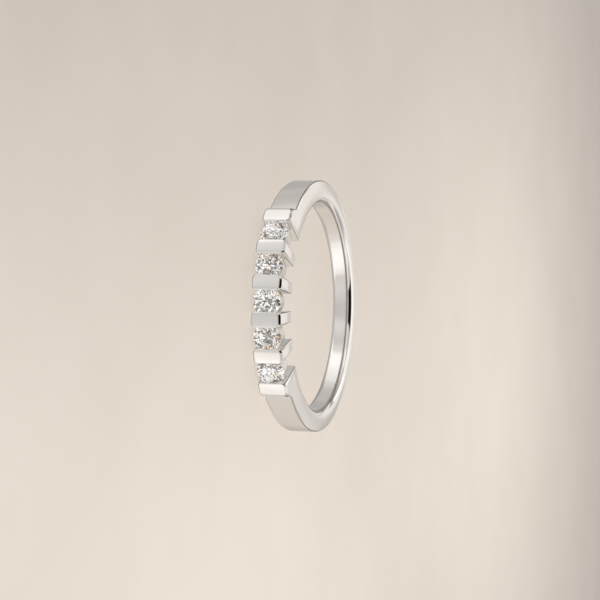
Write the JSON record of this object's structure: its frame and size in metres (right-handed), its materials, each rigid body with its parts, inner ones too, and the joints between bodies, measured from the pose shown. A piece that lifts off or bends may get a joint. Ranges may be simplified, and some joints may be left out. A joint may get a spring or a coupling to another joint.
{
  "type": "half eternity ring",
  "caption": "Polished white metal finger ring with a row of round brilliants held between raised cross bars, on a shank that tapers to the back.",
  "frame": {"origin": "centre of the finger hole, on its axis and halfway through the ring's width", "axes": "+Z along the finger hole, which is up when the ring lies on its side; the setting faces -Y; stone_1 is the stone nearest -X and stone_5 the one nearest +X"},
  "size_m": [0.0208, 0.0213, 0.0024],
  "materials": {
    "polished_white_metal": "mirror polished white gold",
    "brilliant": "faceted, clear and colourless"
  },
  "bodies": {
    "root": {"band": "polished_white_metal", "stone_1": "brilliant", "stone_2": "brilliant", "stone_3": "brilliant", "stone_4": "brilliant", "stone_5": "brilliant"}
  },
  "joints": []
}
